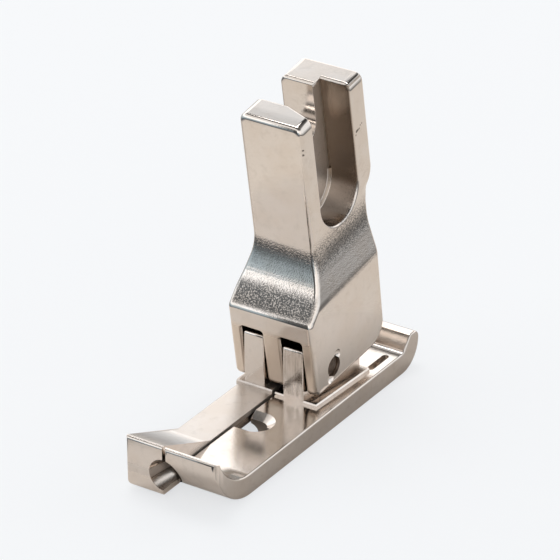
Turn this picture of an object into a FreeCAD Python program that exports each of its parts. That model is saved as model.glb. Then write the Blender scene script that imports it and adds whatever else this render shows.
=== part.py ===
"""Twin-sole hinged presser foot with a cord tunnel in its toe.

Lengths are millimetres and angles are degrees.  The part is built around the
pivot: X runs across the foot to its right, Y from toe to heel and Z up from
the floor, with the pivot pin over the floor's zero.  At the end every piece
moves by one vector, which puts the frame's origin at the centre of the
bounding box's bottom face.

The shank leans towards the toe, so its sizes are given in its own frame:
"along" runs from front to back, "rise" runs up the shank, both from the pin.
"""
import FreeCAD, Part
import math
import os

Vec = FreeCAD.Vector

# Shank, seen from its side
LEAN = 9.0                # angle between the shank and the soles' normal
SHANK_FRONT = 0.55        # along, front face of the upper shank
SHANK_REAR = 11.1         # along, rear face of the upper shank
SHANK_TOP = 26.5          # rise, top of both prongs
BODY_FRONT = -3.15        # along, front face under the shoulder
BODY_REAR = 8.85          # along, rear face of the lower body
BODY_FLOOR_REAR = -2.35   # rise, underside near the heel
BODY_FLOOR_FRONT = -1.8   # rise, tips of the clevis prongs
SHOULDER = 6.6            # rise, front edge of the shoulder
COVE_START = 13.2         # rise, where the front face starts to sweep out
REAR_STEP_TOP = 16.4      # rise, upper end of the step in the rear face
REAR_STEP_END = 12.4      # rise, lower end of that step

# Shank, seen from its front
SHANK_HALF = 3.5          # half width of the upper shank
BODY_HALF = 4.75          # half width of the lower body
FLARE_START = 12.9        # rise, where the sides start to widen
FLARE_END = 7.1           # rise, where the sides are at full width

# Channel for the presser bar and slot for its screw
BAR_CHANNEL_WIDTH = 6.5
BAR_CHANNEL_DEPTH = 3.3
BAR_CHANNEL_END = 13.0    # rise, bottom of the channel's round end
SCREW_SLOT_WIDTH = 4.05
SCREW_SLOT_END = 20.6     # rise, bottom of the slot's round end
FRONT_PRONG = 1.9         # length of the prong in front of the channel
CHANNEL_FLOOR_BEVEL = 0.3 # round end's bevel where its wall meets the channel floor
CHANNEL_MIDDLE = SHANK_FRONT + FRONT_PRONG + BAR_CHANNEL_WIDTH / 2  # along
CHANNEL_FLOOR = SHANK_HALF - BAR_CHANNEL_DEPTH  # across

# Clevis and pivot
PIVOT_HEIGHT = 5.25       # over the floor
PIN_DIAMETER = 2.1
PIN_RECESS = 0.35         # each pin end under the outer face
LUG_WIDTH = 2.3
LUG_PITCH = 4.45          # between the middles of the two lugs
SLOT_SIDE_GAP = 0.07      # between a lug and each wall of its slot
SLOT_ROOF = 4.3           # rise
SLOT_REAR = 7.1           # along, closed rear end, which stops the lug
LUG_STOP_GAP = 0.03       # between the lug and that stop
LUG_RELIEF = 13.0         # angle of the lug's rear face below the pin, which lets it swing
PIN_RUNNING_GAP = 0.03    # radial, lug bore over the pin
STAKE_RADIUS = 0.55       # two punch marks that hold the pin
STAKE_DEPTH = 0.3
STAKE_OFFSET = 1.2        # from the pin's axis
STAKE_ANGLE = 52.0        # from level, seen on the right face

# Soles
SOLE_GAP = 0.2            # parting gap between the two soles
LEFT_OUTER = -4.2         # across, left edge of the left sole
RIGHT_OUTER = 6.25        # across, right edge of the right sole
LEFT_THICKNESS = 2.0
RIGHT_THICKNESS = 2.25
LEFT_RAISE = 0.45         # underside of the left sole over the floor
TOE_FRONT = -22.0
TOE_CURL_START = TOE_FRONT + 5.4  # where the right underside leaves the floor
TOE_CURL_INNER = TOE_FRONT + 5.2  # where the right top starts to rise
TOE_LIP_TOP = 5.55
TOE_LIP_FALL = 0.9        # where the toe's front turns upright, under its top
TOE_LIP = 0.42            # thickness of the right toe's lip
TOE_LIP_ROUND = 0.24      # rounding of its top, outside
HEEL_END = 13.1
HEEL_CURL = 2.95          # radius of the curl up to the heel's end
HEEL_CREASE = 10.25
HEEL_CREASE_ROUND = 0.8
HEEL_TOP = 3.75           # over the sole's underside
HEEL_RIM = 1.5            # thickness of the heel's raised end
HEEL_OUTER_ROUND = 0.8    # rounding of its top, outside
HEEL_INNER_ROUND = 0.25   # rounding of its top, inside
LUG_FRONT = -3.35
LUG_TOP = 7.95            # over the underside of its own sole
LUG_CREST_END = 1.0       # rear end of the lug's level top
BLOCK_SETBACK = 0.1       # left toe block's front behind the right toe's
BLOCK_FRONT = TOE_FRONT + BLOCK_SETBACK
BLOCK_TOP = 5.75
RAMP_LENGTH = 7.9
RAMP_END = BLOCK_FRONT + RAMP_LENGTH

# Raised pad under the shank, on both soles, and the blind slot behind the right one
PAD_HEIGHT = 0.35
PAD_ROOT = 0.2            # how far the pad's solid reaches into the plate
PAD_REAR = 5.55
PAD_SIDE_FRONT = 4.88     # across, front corner of the right pad
PAD_SIDE_REAR = 5.27      # across, its rear corner
PAD_EDGE = 0.12
LEFT_PAD_LEAD = 0.15      # left pad's front face ahead of its lug
BLIND_SLOT_ACROSS = 5.05
BLIND_SLOT_WIDTH = 0.72
BLIND_SLOT_FRONT = 5.75
BLIND_SLOT_REAR = 9.15
BLIND_SLOT_DEPTH = 1.0

# Cord tunnel and needle hole
CORD_MOUTH_RADIUS = 1.62
CORD_MOUTH_HEIGHT = 2.62
CORD_RADIUS = 1.0
CORD_HEIGHT = 2.0
CORD_MOUTH_DEPTH = 3.4    # length of the funnel
CORD_MOUTH_LEAD = 0.2     # how far its cutter starts ahead of the toe
CORD_FALL_LENGTH = 3.0    # length in which the tunnel comes down to the groove
CORD_GROOVE_TOP = 1.2
NEEDLE_X = 1.4            # middle of the opening's round end
NEEDLE_Y = -8.5
NEEDLE_RADIUS = 1.05
NEEDLE_SINK_RADIUS = 1.87
NEEDLE_SINK_DEPTH = 0.55

# Return springs
SPRING_ALONG = 4.7
SPRING_DIAMETER = 1.9     # outer
SPRING_WIRE = 0.3
SPRING_WIRE_SIDES = 4     # the hidden wire is a four-sided bar, which keeps it light
SPRING_TURNS = 4.0
SPRING_SEAT = 1.7         # rise, flat on the lug
SPRING_SEAT_MARGIN = 0.25 # flat ahead of the spring
SPRING_SEAT_STEP = 0.35   # step up from the flat to the lug's slope
SPRING_BORE_END = 8.4     # rise, closed end of the bore
SPRING_BORE_GAP = 0.1     # radial, bore over the spring
SPRING_END_GAP = 0.02

OVER = 1.0                # how far a cutter runs beyond what it opens

TIP_ROUND = 0.75          # front lower tips of the clevis
HEEL_ROUND = 2.0          # rear lower corner of the body
REAR_TAPER = 0.3          # how much the rear face leans in below its step
EDGE = 0.5                # rounding of the shank's outer edges
SHOULDER_ROUND = 0.45     # rounding of the shoulder's front edge
TOP_SIDE_ROUND = 0.85     # rounding of the top's left and right ends
CLEVIS_RIM = 0.3          # rounding of the clevis slots' rims and of their roof corners
CHANNEL_RIM = 0.25        # rounding of the channel's and the screw slot's rims
SOLE_EDGE = 0.18          # rounding of the right sole's outer edges
LUG_EDGE = 0.3            # rounding of a lug's top front edge
LUG_SIDE_EDGE = 0.12      # rounding of a lug's upright front edges
TOE_CORNER = 0.8          # rounding of the right toe's outer corner, seen from above
TOE_INNER_CORNER = 0.45   # rounding of its corner at the parting line
BLOCK_EDGE = 0.28         # rounding of the toe block's front edges
BLOCK_CORNER = 0.45       # rounding of the toe block's lower left edge


def side_face(start, steps, x=0.0):
    """Flat face in a Y-Z plane: each step is a point or an arc's (middle, end)."""
    def place(point):
        return Vec(x, point[0], point[1])

    edges = []
    here = start
    for step in steps:
        if isinstance(step[0], tuple):
            middle, end = step
            edges.append(Part.Arc(place(here), place(middle), place(end)).toShape())
        else:
            end = step
            edges.append(Part.LineSegment(place(here), place(end)).toShape())
        here = end
    if math.dist(here, start) > 1e-6:
        edges.append(Part.LineSegment(place(here), place(start)).toShape())
    return Part.Face(Part.Wire(edges))


def side_prism(start, steps, x_min, x_max):
    """Side view pushed across the foot from x_min to x_max."""
    return side_face(start, steps, x_min).extrude(Vec(x_max - x_min, 0, 0))


def box(x, y, z):
    """Box between pairs of limits."""
    return Part.makeBox(x[1] - x[0], y[1] - y[0], z[1] - z[0], Vec(x[0], y[0], z[0]))


def cross_pin(radius, x_min, x_max, y=0.0, z=0.0):
    """Cylinder along X."""
    return Part.makeCylinder(radius, x_max - x_min, Vec(x_min, y, z), Vec(1, 0, 0))


def lean(shape):
    """Turns a shape from the shank's own frame into the foot's frame."""
    placed = shape.copy()
    placed.rotate(Vec(0, 0, 0), Vec(1, 0, 0), LEAN)
    placed.translate(Vec(0, 0, PIVOT_HEIGHT))
    return placed


def edges_where(shape, test):
    """Edges whose middle point passes a test."""
    chosen = []
    for edge in shape.Edges:
        middle = edge.valueAt((edge.FirstParameter + edge.LastParameter) / 2)
        if test(middle, edge):
            chosen.append(edge)
    return chosen


def near(middle, along, rise):
    """Whether an edge that runs across the foot passes a point of the side view."""
    return abs(middle.y - along) < 0.01 and abs(middle.z - rise) < 0.01


def run(edge):
    """Straight vector from an edge's first end to its last."""
    return edge.Vertexes[-1].Point - edge.Vertexes[0].Point


def cove(start, end):
    """Middle point of the arc that leaves the start upright and meets the end."""
    reach = abs(end[0] - start[0])
    height = abs(end[1] - start[1])
    radius = (reach**2 + height**2) / (2 * reach)
    sweep = math.atan2(height, radius - reach) / 2
    across = math.copysign(radius * (1 - math.cos(sweep)), end[0] - start[0])
    up = math.copysign(radius * math.sin(sweep), end[1] - start[1])
    return (start[0] + across, start[1] + up)


def midpoint(first, second):
    """Point halfway between two points."""
    return ((first[0] + second[0]) / 2, (first[1] + second[1]) / 2)


def shank_outline():
    """Side view and front view of the shank, crossed."""
    shoulder = (BODY_FRONT, SHOULDER)
    cove_top = (SHANK_FRONT, COVE_START)
    tip = (BODY_FRONT, BODY_FLOOR_FRONT + TIP_ROUND)
    tip_end = (BODY_FRONT + TIP_ROUND, BODY_FLOOR_FRONT)
    heel = (BODY_REAR - HEEL_ROUND, BODY_FLOOR_REAR)
    heel_end = (BODY_REAR, BODY_FLOOR_REAR + HEEL_ROUND)
    step_top = (SHANK_REAR, REAR_STEP_TOP)
    step_end = (BODY_REAR + REAR_TAPER, REAR_STEP_END)
    step_middle = midpoint(step_top, step_end)
    side = side_prism(
        (SHANK_FRONT, SHANK_TOP),
        [
            cove_top,
            (cove(cove_top, shoulder), shoulder),
            tip,
            (cove(tip, tip_end), tip_end),
            heel,
            (cove(heel_end, heel), heel_end),
            (BODY_REAR, FLARE_END),
            step_end,
            (cove(step_end, step_middle), step_middle),
            (cove(step_top, step_middle), step_top),
            (SHANK_REAR, SHANK_TOP),
        ],
        -BODY_HALF - OVER,
        BODY_HALF + OVER,
    )
    side = side.makeFillet(
        SHOULDER_ROUND,
        edges_where(side, lambda middle, edge: near(middle, BODY_FRONT, SHOULDER)),
    )
    flare_top = (SHANK_HALF, FLARE_START)
    flare_end = (BODY_HALF, FLARE_END)
    flare_middle = midpoint(flare_top, flare_end)
    half = [
        (cove(flare_top, flare_middle), flare_middle),
        (cove(flare_end, flare_middle), flare_end),
    ]
    depth = SHANK_REAR - BODY_FRONT + 2 * OVER
    top_end = (SHANK_HALF - TOP_SIDE_ROUND, SHANK_TOP)
    top_side = (SHANK_HALF, SHANK_TOP - TOP_SIDE_ROUND)
    right = side_face(
        (0, SHANK_TOP),
        [
            top_end,
            (cove(top_side, top_end), top_side),
            flare_top,
            *half,
            (BODY_HALF, BODY_FLOOR_REAR - OVER),
            (0, BODY_FLOOR_REAR - OVER),
        ],
    )
    # The face is drawn in the Y-Z plane: a quarter turn makes its width run across.
    right.rotate(Vec(0, 0, 0), Vec(0, 0, 1), -90)
    right = right.extrude(Vec(0, depth, 0))
    right.translate(Vec(0, BODY_FRONT - OVER, 0))
    left = right.mirror(Vec(0, 0, 0), Vec(1, 0, 0))
    return side.common(right.fuse(left).removeSplitter())


def channel_cut():
    """Channel for the presser bar, open at the top and to the right."""
    radius = BAR_CHANNEL_WIDTH / 2
    round_centre = BAR_CHANNEL_END + radius
    bevel = CHANNEL_FLOOR_BEVEL
    channel = box(
        (CHANNEL_FLOOR, BODY_HALF + OVER),
        (CHANNEL_MIDDLE - radius, CHANNEL_MIDDLE + radius),
        (round_centre, SHANK_TOP + OVER),
    )
    # The front wall slants from the screw slot's edge to the prong's outer face.
    slot_edge = CHANNEL_MIDDLE - SCREW_SLOT_WIDTH / 2
    front_edge = CHANNEL_MIDDLE - radius
    low = round_centre - OVER
    corners = [
        Vec(CHANNEL_FLOOR - OVER, slot_edge, low),
        Vec(CHANNEL_FLOOR, slot_edge, low),
        Vec(SHANK_HALF, front_edge, low),
        Vec(SHANK_HALF + OVER, front_edge - OVER, low),
        Vec(CHANNEL_FLOOR - OVER, front_edge - OVER, low),
    ]
    wall = Part.Face(Part.makePolygon(corners + corners[:1]))
    wall = wall.extrude(Vec(0, 0, SHANK_TOP + 3 * OVER))
    round_end = cross_pin(
        radius, CHANNEL_FLOOR + bevel, BODY_HALF + OVER, CHANNEL_MIDDLE, round_centre
    )
    bevel_ring = Part.makeCone(
        radius - bevel,
        radius,
        bevel,
        Vec(CHANNEL_FLOOR, CHANNEL_MIDDLE, round_centre),
        Vec(1, 0, 0),
    )
    return channel.cut(wall).fuse([round_end, bevel_ring])


def screw_slot_cut():
    """Slot for the clamp screw, open at the top, from the left face to the channel."""
    radius = SCREW_SLOT_WIDTH / 2
    centre = SCREW_SLOT_END + radius
    slot = box(
        (-SHANK_HALF - OVER, CHANNEL_FLOOR + OVER),
        (CHANNEL_MIDDLE - radius, CHANNEL_MIDDLE + radius),
        (centre, SHANK_TOP + OVER),
    )
    return slot.fuse(
        cross_pin(radius, -SHANK_HALF - OVER, CHANNEL_FLOOR + OVER, CHANNEL_MIDDLE, centre)
    )


def clevis_slot(side):
    """Slot for one lug, with rounded roof corners."""
    half = LUG_WIDTH / 2 + SLOT_SIDE_GAP
    across = side * LUG_PITCH / 2
    slot = box(
        (across - half, across + half),
        (BODY_FRONT - OVER, SLOT_REAR),
        (BODY_FLOOR_REAR - OVER, SLOT_ROOF),
    )

    def roof_side(middle, edge):
        return abs(middle.z - SLOT_ROOF) < 0.01 and abs(run(edge).y) > 1

    return slot.makeFillet(CLEVIS_RIM, edges_where(slot, roof_side))


def bore_cuts():
    """Spring bores, the pin's bore and the two stake marks."""
    cuts = [cross_pin(PIN_DIAMETER / 2, -BODY_HALF - OVER, BODY_HALF + OVER)]
    for side in (-1, 1):
        cuts.append(
            Part.makeCylinder(
                SPRING_DIAMETER / 2 + SPRING_BORE_GAP,
                SPRING_BORE_END - SLOT_ROOF + OVER,
                Vec(side * LUG_PITCH / 2, SPRING_ALONG, SLOT_ROOF - OVER),
            )
        )
    ball = (STAKE_RADIUS**2 + STAKE_DEPTH**2) / (2 * STAKE_DEPTH)
    for turn in (STAKE_ANGLE, STAKE_ANGLE + 180):
        angle = math.radians(turn)
        cuts.append(
            Part.makeSphere(
                ball,
                Vec(
                    BODY_HALF + ball - STAKE_DEPTH,
                    STAKE_OFFSET * math.cos(angle),
                    STAKE_OFFSET * math.sin(angle),
                ),
            )
        )
    return cuts


def outer_edge(middle, edge):
    """Whether an edge belongs to the rim of the shank's left or right outline."""
    way = run(edge)
    level = abs(way.x) > 0.9 * way.Length
    if level:
        return middle.z > SHANK_TOP - 0.01
    return abs(way.z) > 0.05 and abs(middle.x) > SHANK_HALF - TOP_SIDE_ROUND


def clevis_rim(middle, edge):
    """Whether an edge belongs to the front, tip or underside rim of a clevis slot."""
    way = run(edge)
    half = LUG_WIDTH / 2 + SLOT_SIDE_GAP
    on_wall = any(
        abs(abs(middle.x - side * LUG_PITCH / 2) - half) < 0.01 for side in (-1, 1)
    )
    roof = middle.z > SLOT_ROOF - CLEVIS_RIM and middle.z < SLOT_ROOF + 0.01
    front = abs(middle.y - BODY_FRONT) < 0.01 and abs(middle.x) < BODY_HALF - EDGE - 0.1
    tip = middle.y < BODY_FRONT + TIP_ROUND and middle.z < BODY_FLOOR_FRONT + TIP_ROUND
    under = middle.z < BODY_FLOOR_FRONT + 0.1 and abs(way.y) > 1
    return (front and (on_wall or roof)) or (on_wall and (tip or under))


def channel_rear_rim(middle, edge):
    """Whether an edge is the top rim of the channel's rear wall."""
    wall = CHANNEL_MIDDLE + BAR_CHANNEL_WIDTH / 2
    return middle.z > SHANK_TOP - 0.01 and abs(middle.y - wall) < 0.01


def channel_front_rim(middle, edge):
    """Whether an edge is the top rim of the channel's slanted front wall."""
    way = run(edge)
    slanted = abs(way.x) > 1 and abs(way.y) > 0.3 and abs(way.z) < 0.01
    return slanted and middle.z > SHANK_TOP - 0.01


def screw_slot_rim(middle, edge):
    """Whether an edge belongs to the screw slot's rim in the left face and the top."""
    half = SCREW_SLOT_WIDTH / 2
    offset = abs(middle.y - CHANNEL_MIDDLE)
    in_left_face = abs(middle.x + SHANK_HALF) < 0.01
    if in_left_face and offset < half + 0.01 and middle.z > SCREW_SLOT_END - 0.05:
        return True
    at_top = middle.z > SHANK_TOP - 0.3 and middle.x < CHANNEL_FLOOR - 0.1
    return at_top and abs(offset - half) < 0.01


def make_shank():
    """Shank, body and clevis in one casting."""
    shape = shank_outline()
    shape = shape.makeFillet(EDGE, edges_where(shape, outer_edge))
    for side in (-1, 1):
        shape = shape.cut(clevis_slot(side))
    shape = shape.makeFillet(CLEVIS_RIM, edges_where(shape, clevis_rim))
    shape = shape.cut(channel_cut())
    shape = shape.makeFillet(CHANNEL_RIM, edges_where(shape, channel_rear_rim))
    shape = shape.cut(screw_slot_cut())
    # The slanted wall's rim and the screw slot's meet in a corner, so they are one call.
    rims = edges_where(shape, channel_front_rim) + edges_where(shape, screw_slot_rim)
    shape = shape.makeFillet(CHANNEL_RIM, rims)
    for cut in bore_cuts():
        shape = shape.cut(cut)
    return lean(shape)


def make_pin():
    """Headless cross pin, a press fit in the two cheeks and the middle wall."""
    half = BODY_HALF - PIN_RECESS
    pin = cross_pin(PIN_DIAMETER / 2, -half, half)
    pin = pin.makeChamfer(0.15, edges_where(pin, lambda middle, edge: abs(middle.x) > half - 0.01))
    return lean(pin)


def lug_outline(raise_by):
    """Side view of a lug, in the foot's frame around the pin."""
    turn = math.radians(LEAN)

    def from_shank(along, rise):
        return (
            along * math.cos(turn) - rise * math.sin(turn),
            along * math.sin(turn) + rise * math.cos(turn) + PIVOT_HEIGHT,
        )

    base = raise_by + LEFT_THICKNESS / 2
    top = LUG_TOP + raise_by
    rear = SLOT_REAR - LUG_STOP_GAP
    seat_front = SPRING_ALONG - SPRING_DIAMETER / 2 - SPRING_SEAT_MARGIN
    drop = PIVOT_HEIGHT - raise_by
    return [
        (LUG_FRONT, base),
        (LUG_FRONT, top),
        (LUG_CREST_END, top),
        from_shank(seat_front, SPRING_SEAT + SPRING_SEAT_STEP),
        from_shank(seat_front, SPRING_SEAT),
        from_shank(rear, SPRING_SEAT),
        from_shank(rear, 0),
        from_shank(rear - drop * math.tan(math.radians(LUG_RELIEF)), -drop),
    ]


def make_lug(side, raise_by):
    """Lug with its front and top edges rounded."""
    across = side * LUG_PITCH / 2
    points = lug_outline(raise_by)
    lug = side_prism(points[0], points[1:], across - LUG_WIDTH / 2, across + LUG_WIDTH / 2)
    top = LUG_TOP + raise_by

    def crown(middle, edge):
        front = abs(middle.y - LUG_FRONT) < 0.01
        return abs(middle.z - top) < 0.01 and (front or abs(run(edge).y) > 1)

    def upright(middle, edge):
        return abs(run(edge).z) > 1 and abs(middle.y - LUG_FRONT) < 0.01

    lug = lug.makeFillet(LUG_EDGE, edges_where(lug, crown))
    return lug.makeFillet(LUG_SIDE_EDGE, edges_where(lug, upright))


def make_pad(side, top):
    """Raised pad that carries the lug; on the right it widens towards the heel."""
    root = top - PAD_ROOT
    if side < 0:
        front, outer_front, outer_rear = LUG_FRONT - LEFT_PAD_LEAD, LEFT_OUTER, LEFT_OUTER
    else:
        front, outer_front, outer_rear = LUG_FRONT, PAD_SIDE_FRONT, PAD_SIDE_REAR
    inner = side * SOLE_GAP / 2
    corners = [
        Vec(inner, front, root),
        Vec(outer_front, front, root),
        Vec(outer_rear, PAD_REAR, root),
        Vec(inner, PAD_REAR, root),
    ]
    pad = Part.Face(Part.makePolygon(corners + corners[:1])).extrude(Vec(0, 0, PAD_HEIGHT + PAD_ROOT))

    def seen(middle, edge):
        on_top = abs(middle.z - top - PAD_HEIGHT) < 0.01
        at_front = abs(middle.y - front) < 0.01
        at_side = side > 0 and middle.x > PAD_SIDE_FRONT
        return on_top and (at_front or at_side)

    return pad.makeChamfer(PAD_EDGE, edges_where(pad, seen))


def sole_body(side, plate, raise_by, top):
    """Sole plate with its pad and lug, bored for the pin."""
    shape = plate.fuse([make_pad(side, top), make_lug(side, raise_by)]).removeSplitter()
    return shape.cut(
        cross_pin(PIN_DIAMETER / 2 + PIN_RUNNING_GAP, -BODY_HALF, BODY_HALF, 0, PIVOT_HEIGHT)
    )


def heel_middle(start, end):
    """Middle point of the arc that leaves the floor level and meets the end."""
    turned = cove((start[1], start[0]), (end[1], end[0]))
    return (turned[1], turned[0])


def heel_steps(floor):
    """Side view of a sole's raised heel, from the start of its curl to its top, inside."""
    curl = (HEEL_END - HEEL_CURL, floor)
    end = (HEEL_END, floor + HEEL_CURL)
    top = (HEEL_END - HEEL_OUTER_ROUND, floor + HEEL_TOP)
    return [
        (heel_middle(curl, end), end),
        (cove(end, top), top),
        (HEEL_END - HEEL_RIM, floor + HEEL_TOP),
    ]


def heel_rounded(plate, floor, top):
    """Plate with its heel's inner rim and crease rounded."""
    rim_y, rim_z = HEEL_END - HEEL_RIM, floor + HEEL_TOP

    def rim(middle, edge):
        return near(middle, rim_y, rim_z)

    def crease(middle, edge):
        return near(middle, HEEL_CREASE, top)

    plate = plate.makeFillet(HEEL_INNER_ROUND, edges_where(plate, rim))
    return plate.makeFillet(HEEL_CREASE_ROUND, edges_where(plate, crease))


def left_outline():
    """Side view of the left sole, with its toe block and ramp."""
    floor = LEFT_RAISE
    top = LEFT_RAISE + LEFT_THICKNESS
    return [
        (BLOCK_FRONT, floor),
        (HEEL_END - HEEL_CURL, floor),
        *heel_steps(floor),
        (HEEL_CREASE, top),
        (RAMP_END, top),
        (BLOCK_FRONT, BLOCK_TOP),
    ]


def right_outline():
    """Side view of the right sole, with its curled toe and heel."""
    toe = (TOE_CURL_START, 0)
    lip = (TOE_FRONT, TOE_LIP_TOP - TOE_LIP_FALL)
    lip_front = (TOE_FRONT, TOE_LIP_TOP - TOE_LIP_ROUND)
    lip_crest = (TOE_FRONT + TOE_LIP_ROUND, TOE_LIP_TOP)
    lip_top = (TOE_FRONT + TOE_LIP, TOE_LIP_TOP)
    inner = (TOE_CURL_INNER, RIGHT_THICKNESS)
    return [
        toe,
        (HEEL_END - HEEL_CURL, 0),
        *heel_steps(0),
        (HEEL_CREASE, RIGHT_THICKNESS),
        inner,
        (heel_middle(inner, lip_top), lip_top),
        lip_crest,
        (cove(lip_front, lip_crest), lip_front),
        lip,
        (heel_middle(toe, lip), toe),
    ]


def cord_cuts():
    """Funnel, tunnel and underside groove for the cord, on the parting line."""
    depth = CORD_MOUTH_DEPTH + CORD_MOUTH_LEAD
    mouth = Part.makeCone(
        CORD_MOUTH_RADIUS * (1 + CORD_MOUTH_LEAD / depth / 2),
        CORD_RADIUS,
        depth,
        Vec(0, TOE_FRONT - CORD_MOUTH_LEAD, CORD_MOUTH_HEIGHT),
        Vec(0, depth, CORD_HEIGHT - CORD_MOUTH_HEIGHT),
    )
    groove_height = CORD_GROOVE_TOP - CORD_RADIUS
    fall = Vec(0, CORD_FALL_LENGTH, groove_height - CORD_HEIGHT)
    start = Vec(0, TOE_FRONT + CORD_MOUTH_DEPTH - CORD_RADIUS / 3, CORD_HEIGHT)
    slope = Part.makeCylinder(CORD_RADIUS, fall.Length, start, fall)
    groove_start = start + fall - Vec(0, CORD_RADIUS / 2, 0)
    groove = Part.makeCylinder(CORD_RADIUS, HEEL_END - start.y, groove_start, Vec(0, 1, 0))
    ball = Part.makeSphere(CORD_RADIUS, start)
    return mouth.fuse([ball, slope, groove])


def make_left_sole():
    """Left sole: plain strip behind a toe block with the cord funnel."""
    outline = left_outline()
    plate = side_prism(outline[0], outline[1:], LEFT_OUTER, -SOLE_GAP / 2)
    plate = heel_rounded(plate, LEFT_RAISE, LEFT_RAISE + LEFT_THICKNESS)

    def lower_left(middle, edge):
        low = abs(middle.z - LEFT_RAISE) < 0.01 and abs(run(edge).y) > HEEL_END / 2
        return low and abs(middle.x - LEFT_OUTER) < 0.01

    def front_rim(middle, edge):
        at_front = abs(middle.y - BLOCK_FRONT) < 0.01
        return at_front and (middle.x < LEFT_OUTER + 0.01 or middle.z > BLOCK_TOP - 0.01)

    plate = plate.makeFillet(BLOCK_CORNER, edges_where(plate, lower_left))
    plate = plate.makeFillet(BLOCK_EDGE, edges_where(plate, front_rim))
    shape = sole_body(-1, plate, LEFT_RAISE, LEFT_RAISE + LEFT_THICKNESS)
    return shape.cut(cord_cuts())


def toe_plan():
    """Plan view of the right sole, with the toe's two rounded corners, as a tall prism."""
    left, right = SOLE_GAP / 2, RIGHT_OUTER
    low, high = -OVER, TOE_LIP_TOP + HEEL_TOP + OVER
    plan = box((left, right), (TOE_FRONT, HEEL_END + OVER), (low, high))

    def front_upright(middle, edge):
        return abs(middle.y - TOE_FRONT) < 0.01 and abs(run(edge).z) > 1

    def outer_corner(middle, edge):
        return front_upright(middle, edge) and abs(middle.x - right) < 0.01

    def inner_corner(middle, edge):
        return front_upright(middle, edge) and abs(middle.x - left) < 0.01

    plan = plan.makeFillet(TOE_CORNER, edges_where(plan, outer_corner))
    return plan.makeFillet(TOE_INNER_CORNER, edges_where(plan, inner_corner))


def round_ended(radius, end_x, y, z, height):
    """Upright cutter that runs in from beyond the parting line and stops round at end_x."""
    reach = end_x + SOLE_GAP
    block = Part.makeBox(reach, 2 * radius, height, Vec(-SOLE_GAP, y - radius, z))
    return block.fuse(Part.makeCylinder(radius, height, Vec(end_x, y, z)))


def needle_cut():
    """Needle opening, which runs out to the parting line, and its countersink."""
    top = RIGHT_THICKNESS
    bore = round_ended(NEEDLE_RADIUS, NEEDLE_X, NEEDLE_Y, -OVER, top + 2 * OVER)
    section = Part.makePolygon(
        [
            Vec(-SOLE_GAP, NEEDLE_Y - NEEDLE_RADIUS, top - NEEDLE_SINK_DEPTH),
            Vec(-SOLE_GAP, NEEDLE_Y + NEEDLE_RADIUS, top - NEEDLE_SINK_DEPTH),
            Vec(-SOLE_GAP, NEEDLE_Y + NEEDLE_SINK_RADIUS, top),
            Vec(-SOLE_GAP, NEEDLE_Y - NEEDLE_SINK_RADIUS, top),
            Vec(-SOLE_GAP, NEEDLE_Y - NEEDLE_RADIUS, top - NEEDLE_SINK_DEPTH),
        ]
    )
    run_in = Part.Face(section).extrude(Vec(NEEDLE_X + SOLE_GAP, 0, 0))
    cone = Part.makeCone(
        NEEDLE_RADIUS,
        NEEDLE_SINK_RADIUS,
        NEEDLE_SINK_DEPTH,
        Vec(NEEDLE_X, NEEDLE_Y, top - NEEDLE_SINK_DEPTH),
    )
    rim = round_ended(NEEDLE_SINK_RADIUS, NEEDLE_X, NEEDLE_Y, top, OVER)
    return bore.fuse([run_in, cone, rim])


def blind_slot():
    """Narrow slot with round ends behind the right pad."""
    half = BLIND_SLOT_WIDTH / 2
    floor = RIGHT_THICKNESS - BLIND_SLOT_DEPTH
    left = BLIND_SLOT_ACROSS - half
    front = BLIND_SLOT_FRONT + half
    rear = BLIND_SLOT_REAR - half
    height = BLIND_SLOT_DEPTH + OVER
    ends = [
        Part.makeCylinder(half, height, Vec(BLIND_SLOT_ACROSS, y, floor)) for y in (front, rear)
    ]
    return box((left, left + 2 * half), (front, rear), (floor, floor + height)).fuse(ends)


def make_right_sole():
    """Right sole: curled plate with the needle opening."""
    outline = right_outline()
    plate = side_prism(outline[0], outline[1:], SOLE_GAP / 2, RIGHT_OUTER)
    plate = heel_rounded(plate, 0, RIGHT_THICKNESS)

    def outer_rim(middle, edge):
        return abs(middle.x - RIGHT_OUTER) < 0.01 and abs(middle.z - RIGHT_THICKNESS) < 0.01

    # The rounding runs on along the curls that the straight edge leads into.
    plate = plate.makeFillet(SOLE_EDGE, edges_where(plate, outer_rim))
    plate = plate.common(toe_plan())
    shape = sole_body(1, plate, 0, RIGHT_THICKNESS)
    return shape.cut(cord_cuts()).cut(needle_cut()).cut(blind_slot())


def make_spring(side):
    """Compression spring, standing on its lug."""
    radius = (SPRING_DIAMETER - SPRING_WIRE) / 2
    height = SPRING_BORE_END - SPRING_SEAT - SPRING_WIRE - 2 * SPRING_END_GAP
    helix = Part.makeHelix(height / SPRING_TURNS, height, radius)
    corners = []
    for index in range(SPRING_WIRE_SIDES + 1):
        angle = 2 * math.pi * index / SPRING_WIRE_SIDES
        corners.append(
            Vec(
                radius + SPRING_WIRE / 2 * math.cos(angle),
                0,
                SPRING_WIRE / 2 * math.sin(angle),
            )
        )
    coil = Part.Wire(helix).makePipeShell([Part.makePolygon(corners)], True, True)
    coil = Part.Solid(coil) if coil.ShapeType != "Solid" else coil
    coil.translate(
        Vec(
            side * LUG_PITCH / 2,
            SPRING_ALONG,
            SPRING_SEAT + SPRING_END_GAP + SPRING_WIRE / 2,
        )
    )
    return lean(coil)


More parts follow.
